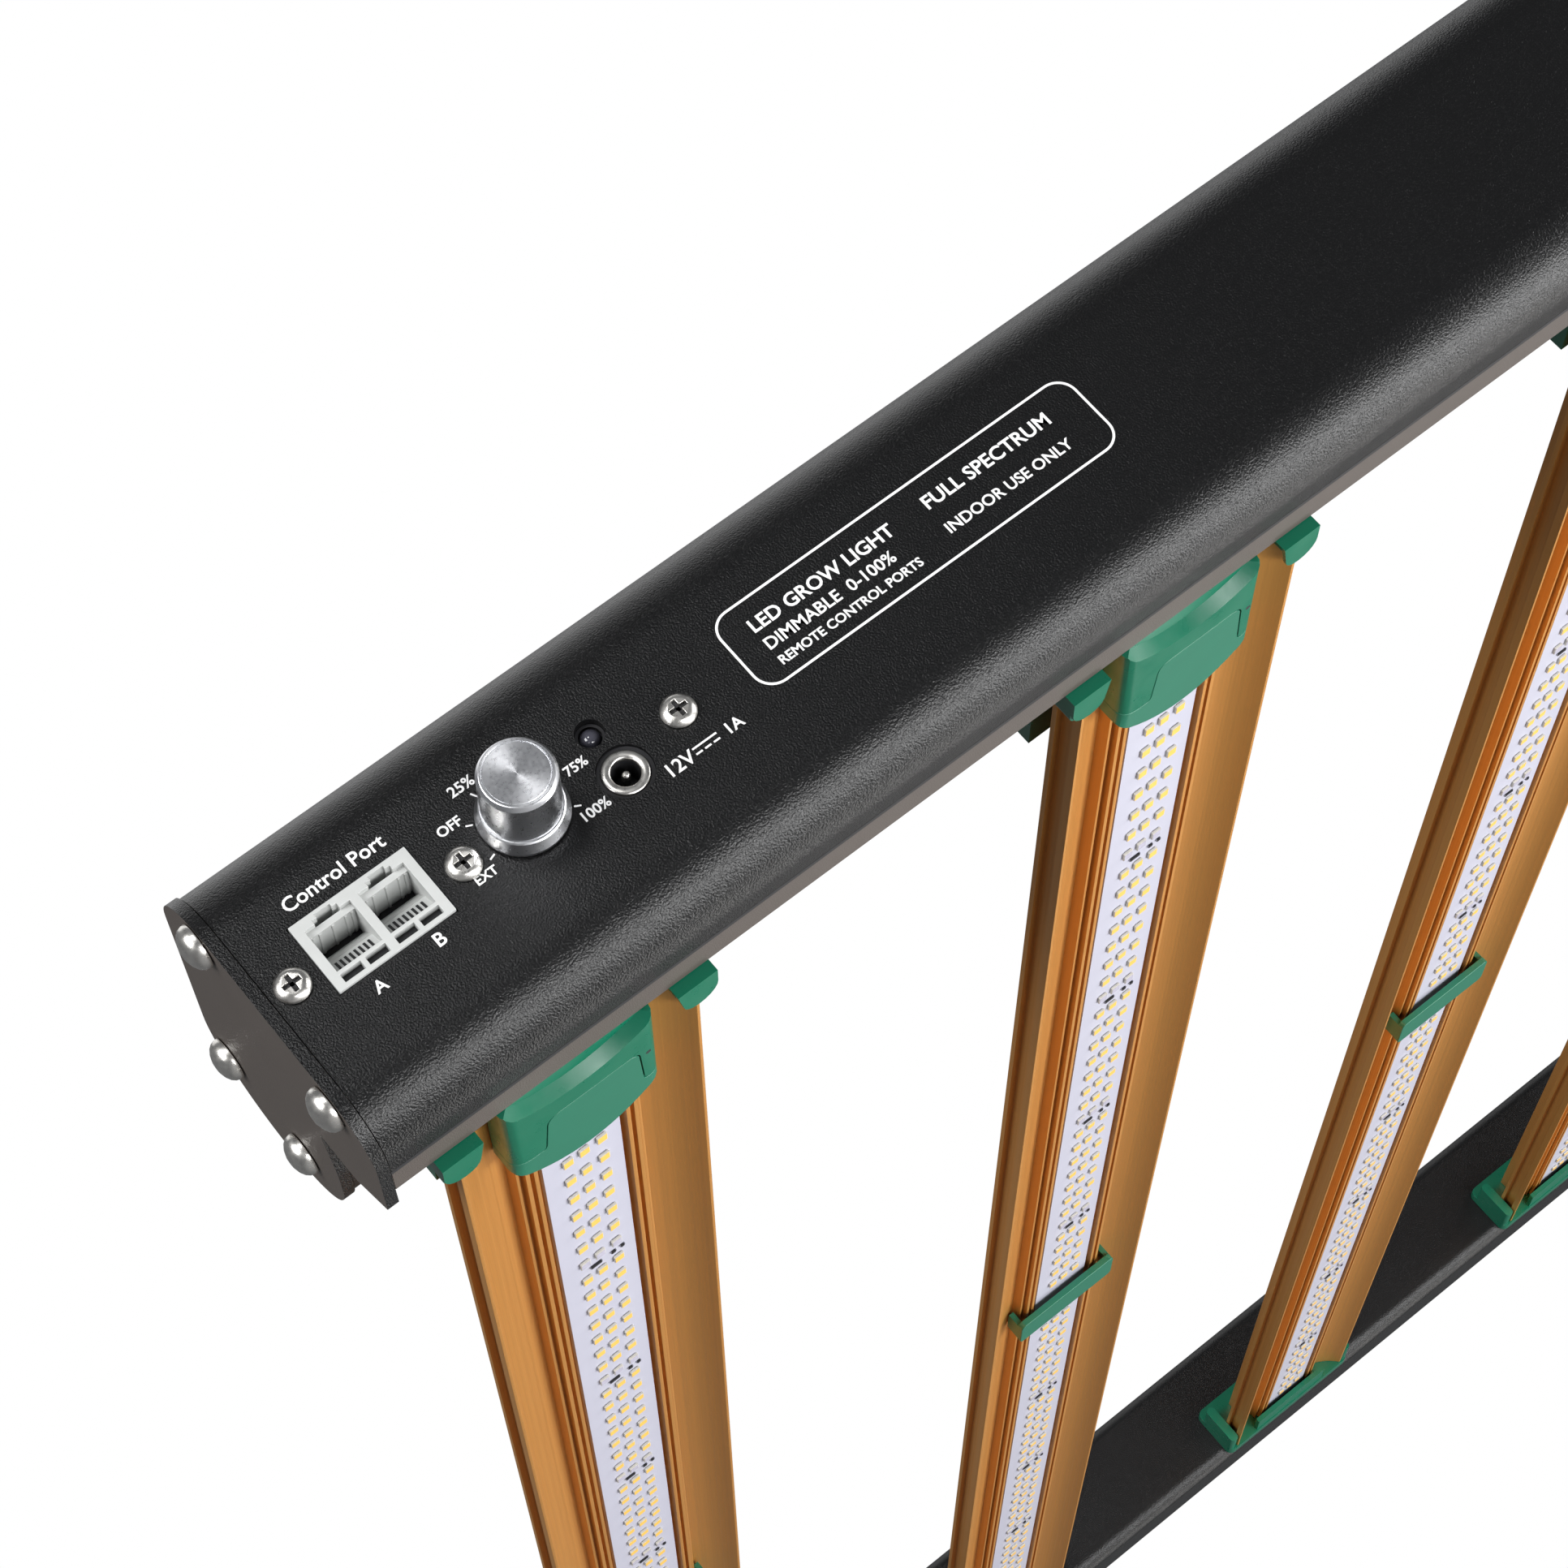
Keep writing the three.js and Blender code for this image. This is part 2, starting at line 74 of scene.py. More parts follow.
# ---- materials ----------------------------------------------------------------------------------
class Finish:
    """A Principled material with helpers for fine detail. Sizes of detail are in metres."""

    def __init__(self, name, color, roughness, metallic=0.0, **inputs):
        self.material = bpy.data.materials.new(name)
        self.material.use_nodes = True
        self.tree = self.material.node_tree
        self.shader = self.tree.nodes["Principled BSDF"]
        self.color = (*color, 1.0)
        self.shader.inputs["Base Color"].default_value = self.color
        self.shader.inputs["Roughness"].default_value = roughness
        self.shader.inputs["Metallic"].default_value = metallic
        for key, value in inputs.items():
            self.shader.inputs[key.replace("_", " ")].default_value = value
        self.coordinates = self.tree.nodes.new("ShaderNodeTexCoord").outputs["Object"]

    def link(self, source, target):
        self.tree.links.new(source, target)

    def noise(self, size, detail=2.0, stretch=(1, 1, 1)):
        """Noise with patches of about this size; a stretch above 1 makes them longer on that axis."""
        mapping = self.tree.nodes.new("ShaderNodeMapping")
        mapping.inputs["Scale"].default_value = [1 / (size * s) for s in stretch]
        self.link(self.coordinates, mapping.inputs["Vector"])
        noise = self.tree.nodes.new("ShaderNodeTexNoise")
        noise.inputs["Scale"].default_value = 1.0
        noise.inputs["Detail"].default_value = detail
        self.link(mapping.outputs["Vector"], noise.inputs["Vector"])
        return noise.outputs["Fac"]

    def bump(self, size, strength, depth, stretch=(1, 1, 1)):
        """Roughens the surface with noise, on top of any bump it already has."""
        bump = self.tree.nodes.new("ShaderNodeBump")
        bump.inputs["Strength"].default_value = strength
        bump.inputs["Distance"].default_value = depth
        self.link(self.noise(size, stretch=stretch), bump.inputs["Height"])
        if self.shader.inputs["Normal"].is_linked:
            self.link(self.shader.inputs["Normal"].links[0].from_socket, bump.inputs["Normal"])
        self.link(bump.outputs["Normal"], self.shader.inputs["Normal"])
        return self

    def tint(self, size, amount, stretch=(1, 1, 1)):
        """Varies the colour a little in patches."""
        mix = self.tree.nodes.new("ShaderNodeMix")
        mix.data_type = "RGBA"
        mix.inputs["A"].default_value = [c * (1 - amount) for c in self.color[:3]] + [1]
        mix.inputs["B"].default_value = [min(1, c * (1 + amount)) for c in self.color[:3]] + [1]
        self.link(self.noise(size, 3.0, stretch), mix.inputs["Factor"])
        self.link(mix.outputs["Result"], self.shader.inputs["Base Color"])
        return self

    def scuff(self, size, low, high, stretch=(1, 1, 1)):
        """Varies the roughness between two values."""
        spread = self.tree.nodes.new("ShaderNodeMapRange")
        spread.inputs["From Min"].default_value = 0.3
        spread.inputs["From Max"].default_value = 0.7
        spread.inputs["To Min"].default_value = low
        spread.inputs["To Max"].default_value = high
        self.link(self.noise(size, 3.0, stretch), spread.inputs["Value"])
        self.link(spread.outputs["Result"], self.shader.inputs["Roughness"])
        return self


# Draws the noise out along y, into fine lines that run the length of a bar.
ALONG_BAR = (1, 4000, 1)
black = Finish("black_anodised", (0.0035, 0.0035, 0.0038), 0.3, Specular_IOR_Level=0.4)
black.tint(0.05, 0.12).bump(0.0005, 1.0, 0.00022)
# Painted reflection: the shell's black anodising made warm grey-brown, standing in for the pale floor and
# lamps it reflects.
painted_reflection_black = Finish("black_anodised_painted_reflection", (0.085, 0.071, 0.062), 0.5, 0.1)
painted_reflection_black.tint(0.04, 0.08).bump(0.0004, 0.7, 0.00014)
steel = Finish("bright_steel", (0.8, 0.78, 0.74), 0.3, 1.0)
steel.scuff(0.0015, 0.24, 0.36).bump(0.0012, 0.12, 0.00006)
zinc = Finish("zinc_plate", (0.6, 0.6, 0.6), 0.35, 1.0).scuff(0.004, 0.28, 0.45).tint(0.006, 0.1)
spun = Finish("spun_aluminium", (0.86, 0.87, 0.9), 0.3, 1.0, Anisotropic=0.6).scuff(0.0008, 0.26, 0.34)
lathe_marks = spun.tree.nodes.new("ShaderNodeTangent")
lathe_marks.direction_type = "RADIAL"
lathe_marks.axis = "Z"
spun.link(lathe_marks.outputs["Tangent"], spun.shader.inputs["Tangent"])
gold = Finish("gold_anodised", (0.6, 0.275, 0.06), 0.4, 0.6)
gold.tint(0.0006, 0.08, ALONG_BAR).scuff(0.0004, 0.36, 0.48, ALONG_BAR)
gold.bump(0.0005, 0.12, 0.00005, ALONG_BAR)
board = Finish("board_white", (0.47, 0.47, 0.555), 0.42).tint(0.012, 0.04).bump(0.001, 0.05, 0.00005)
green = Finish("green_plastic", (0.002, 0.135, 0.073), 0.3, Specular_IOR_Level=0.5)
green.tint(0.02, 0.08).scuff(0.006, 0.26, 0.36).bump(0.0009, 0.06, 0.00004)
satin_green = Finish("green_satin", (0.012, 0.15, 0.088), 0.36)
satin_green.tint(0.01, 0.06).bump(0.0006, 0.2, 0.00007)
grey_plastic = Finish("grey_plastic", (0.5, 0.51, 0.5), 0.45)
grey_plastic.tint(0.004, 0.06).bump(0.0006, 0.1, 0.00005)
# Dark plastic of real parts; the same dark also paints shade into the seam, the screws' cross recesses and
# the jack's contact slots.
dark = Finish("dark_parts_and_painted_shade", (0.012, 0.012, 0.014), 0.6)
dark.tint(0.002, 0.2).bump(0.0005, 0.1, 0.00005)
lens = Finish("tinted_lens", (0.05, 0.05, 0.065), 0.1, Specular_IOR_Level=0.8).tint(0.002, 0.2)
phosphor = Finish("phosphor", (0.9, 0.52, 0.1), 0.4).tint(0.0011, 0.14).bump(0.0003, 0.2, 0.00005)
package = Finish("led_package", (0.6, 0.58, 0.52), 0.4).tint(0.0008, 0.1)
lead = Finish("solder", (0.3, 0.3, 0.33), 0.3, 0.9).scuff(0.0006, 0.2, 0.45)
clear_led = Finish("clear_led", (0.5, 0.48, 0.58), 0.2).tint(0.0012, 0.2)
ink = Finish("white_ink", (0.82, 0.82, 0.82), 0.55).tint(0.0009, 0.07).bump(0.0003, 0.1, 0.00003)
circuit = Finish("circuit_board", (0.02, 0.12, 0.05), 0.4).tint(0.006, 0.15)
floor_paint = Finish("pale_floor", (0.8, 0.8, 0.8), 0.7).tint(0.4, 0.01)


# ---- helpers ------------------------------------------------------------------------------------
def refine(node, finish, bevel=0.25, segments=2, angle=28, rim=None):
    """Gives a CAD node its finish, smooth shading and small rounded edges.

    A rim finish goes on the faces that do not look along the housing.
    """
    target = nodes[node]
    target.data.materials.clear()
    target.data.materials.append(finish.material)
    if rim:
        target.data.materials.append(rim.material)
        for face in target.data.polygons:
            face.material_index = int(abs(face.normal.x) < 0.5)  # slot 1 is the rim
    weld = target.modifiers.new("weld", "WELD")
    weld.merge_threshold = 1e-6
    rounding = target.modifiers.new("edges", "BEVEL")
    rounding.width = bevel * MM
    rounding.segments = segments
    rounding.limit_method = "ANGLE"
    rounding.angle_limit = math.radians(angle)
    shading = target.modifiers.new("shading", "WEIGHTED_NORMAL")
    shading.keep_sharp = True
    for face in target.data.polygons:
        face.use_smooth = True
    return target


def finish_mesh(name, bm, materials, body="fixture", at=None, crease=35):
    """Turns a bmesh into a piece that rides on a body."""
    bmesh.ops.remove_doubles(bm, verts=bm.verts, dist=1e-7)
    bmesh.ops.recalc_face_normals(bm, faces=bm.faces)
    limit = math.radians(crease)
    for line in bm.edges:
        line.smooth = len(line.link_faces) == 2 and line.calc_face_angle(0) < limit
    for face in bm.faces:
        face.smooth = True
    mesh = bpy.data.meshes.new(name)
    bm.to_mesh(mesh)
    bm.free()
    for finish in materials:
        mesh.materials.append(finish.material)
    piece = bpy.data.objects.new(name, mesh)
    bpy.context.scene.collection.objects.link(piece)
    if at is not None:
        piece.matrix_world = at
    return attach(piece, body)


# Turns of a profile's own z axis onto the frame's axes.
AXIS = {
    "x": Matrix.Rotation(math.radians(90), 4, "Y"),
    "y": Matrix.Rotation(math.radians(-90), 4, "X"),
    "z": Matrix.Identity(4),
}


def turned(name, profile, centre, axis, finish, body="fixture", sides=96, crease=35):
    """A body of revolution from (radius, distance along axis) pairs in mm."""
    bm = bmesh.new()
    rings = []
    for radius, along in profile:
        count = sides if radius else 1
        angles = [math.tau * k / sides for k in range(count)]
        points = [Vector((radius * math.cos(a), radius * math.sin(a), along)) for a in angles]
        rings.append([bm.verts.new(point * MM) for point in points])
    for low, high in zip(rings, rings[1:]):
        for k in range(sides):
            after = k + 1
            corners = [low[k % len(low)], low[after % len(low)]]
            corners += [high[after % len(high)], high[k % len(high)]]
            corners = list(dict.fromkeys(corners))
            if len(corners) > 2:
                bm.faces.new(corners)
    return finish_mesh(name, bm, [finish], body, Matrix.Translation(centre) @ AXIS[axis], crease)


def dome(radius, base, rise, step):
    """Half of a round dome's profile, from its top to its rim, with a point every few degrees."""
    angles = [math.radians(a) for a in range(0, 91, step)]
    return [(radius * math.sin(a), base + rise * math.cos(a)) for a in angles]


def add_box(bm, low, high, material=0, bevel=0.0):
    """Adds a box between two corners in metres, with bevelled edges if asked."""
    made = bmesh.ops.create_cube(bm, size=1.0)
    size = [b - a for a, b in zip(low, high)]
    for vert in made["verts"]:
        vert.co = [a + s * (c + 0.5) for a, s, c in zip(low, size, vert.co)]
    faces = {f for v in made["verts"] for f in v.link_faces}
    for face in faces:
        face.material_index = material
    if bevel:
        edges = list({e for f in faces for e in f.edges})
        bmesh.ops.bevel(bm, geom=edges, offset=bevel, segments=2, affect="EDGES", material=-1)


# Printed letters and lines stand a few hundredths of a mm proud of the panel.
LETTER_MIDDLE, LETTER_HALF = 0.03, 0.02
LINE_BACK, LINE_FRONT = 0.02, 0.06


def lettering(name, text, x, z, width, bold=0.07):
    """Printed letters on the control panel that start at (x, z) and span a width, in mm."""
    curve = bpy.data.curves.new(name, "FONT")
    curve.body = text
    curve.extrude = LETTER_HALF * MM
    curve.offset = bold * MM
    curve.resolution_u = 3
    curve.materials.append(ink.material)
    piece = bpy.data.objects.new(name, curve)
    bpy.context.scene.collection.objects.link(piece)
    curve.size = 5 * MM  # any size; the next lines scale it to the width
    bpy.context.view_layer.update()
    curve.size *= width * MM / piece.dimensions.x
    upright = Matrix.Rotation(math.radians(90), 4, "X")
    piece.matrix_world = Matrix.Translation(on_panel(x, z, LETTER_MIDDLE)) @ upright
    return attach(piece, "fixture")


def printed_line(name, points, width, closed=False):
    """A printed stroke through (x, z) points of the panel, in mm."""
    bm = bmesh.new()
    count = len(points)
    section = ((-1, LINE_BACK), (1, LINE_BACK), (1, LINE_FRONT), (-1, LINE_FRONT))
    sides = []
    for i, (x, z) in enumerate(points):
        before = points[i - 1] if closed or i else points[0]
        after = points[(i + 1) % count] if closed or i < count - 1 else points[-1]
        run = Vector((after[0] - before[0], after[1] - before[1])).normalized()
        side = Vector((-run.y, run.x)) * width / 2
        corners = [on_panel(x + s * side.x, z + s * side.y, out) for s, out in section]
        sides.append([bm.verts.new(corner) for corner in corners])
    pairs = list(zip(sides, sides[1:])) + ([(sides[-1], sides[0])] if closed else [])
    for a, b in pairs:
        for k in range(4):
            bm.faces.new([a[k], a[(k + 1) % 4], b[(k + 1) % 4], b[k]])
    if not closed:
        bm.faces.new(sides[0])
        bm.faces.new(sides[-1])
    return finish_mesh(name, bm, [ink])


def rounded_rectangle(x0, x1, z0, z1, radius, steps=10):
    """The (x, z) points round a rectangle with round corners."""
    left, right, bottom, top = x0 + radius, x1 - radius, z0 + radius, z1 - radius
    points = []
    for cx, cz, start in ((right, top, 0), (left, top, 90), (left, bottom, 180), (right, bottom, 270)):
        for k in range(steps + 1):
            angle = math.radians(start + 90 * k / steps)
            points.append((cx + radius * math.cos(angle), cz + radius * math.sin(angle)))
    return points


# ---- finishes of the CAD nodes --------------------------------------------------------------------
refine("housing_shell", black, 0.4, 3)
refine("far_rail", black, 0.4, 2)
# Painted reflection: the base cover and the end plates' end faces are the shell's black anodising,
# coloured warm grey-brown for the light they reflect; the plates' other faces keep the plain black.
refine("base_cover", painted_reflection_black, 0.3, 2)
for side in ("left", "right"):
    refine(f"end_plate_{side}", painted_reflection_black, 0.5, 3, rim=black)
for name in nodes:
    if name.startswith(("end_screw", "panel_screw")):
        refine(name, steel, 0.12)
    elif name.startswith("hanger"):
        refine(name, zinc, 0.3)
    elif name.startswith("light_bar"):
        refine(name, gold, 0.12, 1, 40)
    elif name.startswith("led_board"):
        refine(name, board, 0.1, 1)
    elif name.startswith(("bar_latch", "board_clip")):
        refine(name, satin_green, 0.8, 4, 32)
    elif name.startswith(("bar_socket", "far_coupler")):
        refine(name, green, 0.8, 4, 32)
refine("control_jack", grey_plastic, 0.12, 2)
refine("dimmer_pot", dark, 0.1)
refine("control_board", circuit, 0.1, 1)
refine("driver_module", dark, 0.5, 2)
refine("mains_inlet", dark, 0.3, 2)

# ---- turned pieces of the control panel -------------------------------------------------------------
# Profiles are (radius, depth behind the panel) in mm; a negative depth stands in front of it.
knob_low, knob_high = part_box("dimmer_knob")
knob_centre = Vector(((knob_low.x + knob_high.x) / 2, PANEL, (knob_low.z + knob_high.z) / 2))
knob_profile = [
    (0, -0.75), (10.0, -0.75), (10.4, -0.9), (10.5, -1.2), (10.5, -1.9), (10.35, -2.3), (9.5, -4.6),
    (9.2, -4.9), (8.9, -5.0), (8.8, -5.2), (8.8, -5.5), (8.95, -5.7), (8.9, -19.1), (8.75, -19.5),
    (8.2, -20.2), (8.0, -20.3),
    (7.6, -20.3), (7.5, -20.15), (7.35, -20.15), (7.25, -20.25), (0, -20.25),
]
knob = turned("knob_cap", knob_profile, knob_centre, "y", spun, "dimmer_knob", 160, 20)
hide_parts("dimmer_knob")

dc_low, dc_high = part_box("dc_jack")
dc_centre = Vector(((dc_low.x + dc_high.x) / 2, PANEL, (dc_low.z + dc_high.z) / 2))
ring_profile = [
    (3.35, 9.5), (3.35, 0.9), (3.5, 0.5), (3.9, 0.35), (4.5, 0.3), (4.9, 0.35), (5.3, 0.5), (5.5, 0.8),
    (5.5, 14.4),
]
core_profile = [(0, 9.4), (3.34, 9.4), (3.34, 1.4), (3.33, 1.4), (3.3, 9.3), (0, 9.3)]
pin_profile = [(0, 1.2), (0.5, 1.25), (0.9, 1.6), (1.05, 2.1), (1.05, 9.3), (0, 9.3)]
bush_profile = [(5.6, 1.0), (6.5, 1.0), (6.55, 3.2), (5.6, 3.2)]
ring = turned("dc_ring", ring_profile, dc_centre, "y", steel, crease=60)
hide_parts("dc_jack")
turned("dc_core", core_profile, dc_centre, "y", dark)
turned("dc_pin", pin_profile, dc_centre, "y", steel)
turned("dc_bush", bush_profile, dc_centre, "y", dark)

led_low, led_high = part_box("status_led")
led_centre = Vector(((led_low.x + led_high.x) / 2, PANEL, (led_low.z + led_high.z) / 2))
led_dome = dome(2.5, 3.4, -2.4, 10)
led_profile = [(0, 1.0), *led_dome[1:], (2.5, 10.9), (2.9, 11), (2.9, 12), (0, 12)]
led = turned("status_dome", led_profile, led_centre, "y", lens)
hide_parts("status_led")
collar_profile = [(2.7, 2.2), (3.4, 2.2), (3.4, 4.0), (2.7, 4.0)]
turned("status_collar", collar_profile, led_centre, "y", dark)

# The right end's screws stand opposite the left end's, a little off the end plate.
HEAD_GAP = 0.3
head_profile = [(0, 4.2), *dome(5.5, 0.8, 3.4, 9)[1:], (5.5, 0.0), (0, 0.0)]
for k in range(1, 5):
    low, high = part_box(f"end_screw_{k}")
    centre = Vector((RIGHT + HEAD_GAP * MM, (low.y + high.y) / 2, (low.z + high.z) / 2))
    turned(f"right_end_screw_{k}", head_profile, centre, "x", steel, crease=60)

# ---- printed panel marks ----------------------------------------------------------------------------
lettering("text_port", "Control Port", 17.6, -24.6, 26.0)
lettering("text_a", "A", 21.9, -51.7, 3.0)
lettering("text_b", "B", 38.0, -51.1, 2.3)
lettering("text_off", "OFF", 53.4, -30.9, 5.9)
lettering("text_ext", "EXT", 53.0, -44.9, 5.4)
lettering("text_quarter", "25%", 61.0, -24.8, 6.2)
lettering("text_three_quarters", "75%", 83.4, -36.4, 5.6)
lettering("text_full", "100%", 79.4, -47.3, 7.0)
lettering("text_volts", "12V", 100.2, -50.6, 6.8)
lettering("text_amps", "1A", 116.6, -50.2, 4.0)

# The direct current sign: a long line over three dashes.
SIGN_LEFT = 108.3
SIGN_STROKE = 0.45
printed_line("mark_dc", [(SIGN_LEFT, -48.0), (114.9, -48.0)], SIGN_STROKE)
for k in range(3):
    start = SIGN_LEFT + 2.4 * k
    printed_line(f"mark_dc_dash_{k}", [(start, -49.5), (start + 1.7, -49.5)], SIGN_STROKE)

# The dial's ticks, with their angles from the panel's x axis towards the top.
TICKS = {"ext": 199, "off": 154, "quarter": 118, "half": 90, "three_quarters": 32, "full": -29}
TICK_INNER, TICK_OUTER = 11.0, 12.6
knob_x = (knob_centre.x - LEFT) / MM
knob_z = knob_centre.z / MM
for name, degrees in TICKS.items():
    radial = Vector((math.cos(math.radians(degrees)), math.sin(math.radians(degrees))))
    ends = [(knob_x + r * radial.x, knob_z + r * radial.y) for r in (TICK_INNER, TICK_OUTER)]
    printed_line(f"tick_{name}", ends, 0.4)

# A label with generic words.
printed_line("label_outline", rounded_rectangle(129.8, 232.0, -47.4, -26.0, 5.0), 0.6, closed=True)
lettering("label_row_1", "LED GROW LIGHT", 136.5, -34.2, 40.0, bold=0.1)
lettering("label_row_2", "DIMMABLE  0-100%", 136.5, -39.6, 36.0)
lettering("label_row_3", "REMOTE CONTROL PORTS", 136.5, -44.2, 40.0)
lettering("label_row_4", "FULL SPECTRUM", 186.0, -34.2, 36.0, bold=0.1)
lettering("label_row_5", "INDOOR USE ONLY", 186.0, -42.0, 36.0)

# The shadow line between the housing shell and its base cover.
seam_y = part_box("base_cover")[0].y
shell_low, shell_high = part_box("housing_shell")
bm = bmesh.new()
add_box(
    bm,
    (shell_low.x, seam_y - 0.6 * MM, shell_low.z - 0.03 * MM),
    (shell_high.x, seam_y + 0.9 * MM, shell_low.z + 0.4 * MM),
)
finish_mesh("seam_shadow", bm, [dark])

# A small round mark on each bar socket beside its latch.
MARK_X, MARK_Y = 17.6, 48.5
mark_profile = [(0, -0.02), (0.7, -0.02), (0.7, 0.1), (0, 0.1)]
for bar in range(1, BARS + 1):
    low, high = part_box(f"bar_socket_{bar}")
    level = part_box(f"bar_latch_{bar}")[0].z
    centre = Vector(((low.x + high.x) / 2 + MARK_X * MM, PANEL + MARK_Y * MM, level))
    turned(f"latch_mark_{bar}", mark_profile, centre, "z", dark, sides=24)

# ---- control jack details -----------------------------------------------------------------------------
# A slope at the bottom of each port with eight dark strips of painted shade for its contact slots, ribs at
# its top and painted shade inside.
jack_low, jack_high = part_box("control_jack")
jack_x, jack_z = (jack_low.x + jack_high.x) / 2, (jack_low.z + jack_high.z) / 2


def jack_point(x, y, z):
    """A point of the jack: mm from its centre along x and z, and mm behind the panel."""
    return Vector((jack_x + x * MM, PANEL + y * MM, jack_z + z * MM))


def sloping_strip(bm, x0, x1, start, end, depth):
    """A strip between two x positions that runs back from one (y, z) point to another, in mm."""
    corners = [(*start, x0), (*start, x1), (*end, x1), (*end, x0)]
    front = [bm.verts.new(jack_point(x, y - 0.03, z + 0.02)) for y, z, x in corners]
    rear = [bm.verts.new(jack_point(x, y + depth, z - 0.5 * depth)) for y, z, x in corners]
    bm.faces.new(front)
    bm.faces.new(rear)
    for k in range(4):
        bm.faces.new([front[k], front[(k + 1) % 4], rear[(k + 1) % 4], rear[k]])


PLASTIC, SHADE = range(2)  # the ribs' material numbers
PORT_OFFSET = 6.985  # mm from the jack's middle to the middle of a port
CONTACTS, CONTACT_PITCH, SLOT_HALF = 8, 1.22, 0.3
SLOPE_HALF, CEILING_HALF = 5.84, 5.8
RIBS, RIB_HALF, RIB_SPAN, KEYWAY_HALF = 7, 0.35, 10, 3.3
slopes, slot_shade, ribs = bmesh.new(), bmesh.new(), bmesh.new()
for port in (-PORT_OFFSET, PORT_OFFSET):
    sloping_strip(slopes, port - SLOPE_HALF, port + SLOPE_HALF, (4.5, -0.5), (9.5, 2.9), 0.8)
    # Painted shade: thin dark strips on the slope stand for the shade in the contact slots.
    for k in range(CONTACTS):
        x = port + CONTACT_PITCH * (k - (CONTACTS - 1) / 2)
        sloping_strip(slot_shade, x - SLOT_HALF, x + SLOT_HALF, (2.23, -4.3), (3.93, -1.39), 0.12)
    left, right = port - CEILING_HALF, port + CEILING_HALF
    add_box(ribs, jack_point(left, 11.2, -0.3), jack_point(right, 11.4, 6.5), SHADE)
    for k in range(RIBS):
        x = port - RIB_SPAN / 2 + k * RIB_SPAN / (RIBS - 1)
        if abs(x - port) > KEYWAY_HALF or k % 2:
            low, high = jack_point(x - RIB_HALF, 1.0, 4.7), jack_point(x + RIB_HALF, 11.1, 5.2)
            add_box(ribs, low, high, PLASTIC, 0.1 * MM)
    add_box(ribs, jack_point(left, 0.8, 5.0), jack_point(right, 11.1, 6.58), PLASTIC)
    for x0, x1 in ((port - 5.75, port - 0.7), (port + 0.7, port + 5.75)):
        add_box(ribs, jack_point(x0, 1.2, -8.2), jack_point(x1, 1.9, -6.2), SHADE)
finish_mesh("jack_slopes", slopes, [grey_plastic])
finish_mesh("jack_slot_shade", slot_shade, [dark])
finish_mesh("jack_ribs", ribs, [grey_plastic, dark])

# Painted shade: dark crosses in the panel screws' cross recesses; depths are from the front of a screw's
# head.
CROSS_REACH, CROSS_HALF = 2.15, 0.5
CROSS_FRONT, CROSS_REAR = 0.95, 1.18
for k in range(1, 4):
    low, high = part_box(f"panel_screw_{k}")
    x, z = (low.x + high.x) / 2, (low.z + high.z) / 2
    front, rear = low.y + CROSS_FRONT * MM, low.y + CROSS_REAR * MM
    bm = bmesh.new()
    for a, b in ((CROSS_REACH, CROSS_HALF), (CROSS_HALF, CROSS_REACH)):
        add_box(bm, (x - a * MM, front, z - b * MM), (x + a * MM, rear, z + b * MM))
    finish_mesh(f"screw_cross_shade_{k}", bm, [dark])

# ---- LEDs and parts on the boards -----------------------------------------------------------------------
# Sizes in mm. Material numbers follow the list in populate().
PACKAGE, PHOSPHOR, CLEAR, SOLDER, BODY = range(5)
COLUMNS = (-4.4, 0.3, 5.4)
COLUMN_SCATTER = 0.06
ROW_PITCH = 12.0
FIRST_ROW = 91.8
LAST_ROW_GAP = 8
CLIP_GAP = 4
GROUP = 8  # rows in a group
CLEAR_ROW = 6  # counted from 0; this row holds clear LEDs, with small parts half a row behind it
CHIP_HALF_X, CHIP_HALF_Y, CHIP_HEIGHT, CHIP_RIM = 1.5, 1.75, 0.8, 0.2
PAD_HALF_X, PAD_HALF_Y, PAD_HEIGHT, PAD_GAP = 1.0, 0.25, 0.12, 0.15
SMALL_PARTS = ((-1.2, 1.6), (4.2, 0.6), (7.0, 0.5))  # x from the board's middle, half width
END_CAP = 0.25
clip_low, clip_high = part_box("board_clip_1")


def block(bm, x, y, half_x, half_y, face, outer, inner, material, bevel=0.0):
    """A box round (x, y) between two heights in mm that are counted down from the board's face."""
    low = (x - half_x * MM, y - half_y * MM, face - outer * MM)
    high = (x + half_x * MM, y + half_y * MM, face - inner * MM)
    add_box(bm, low, high, material, bevel * MM)


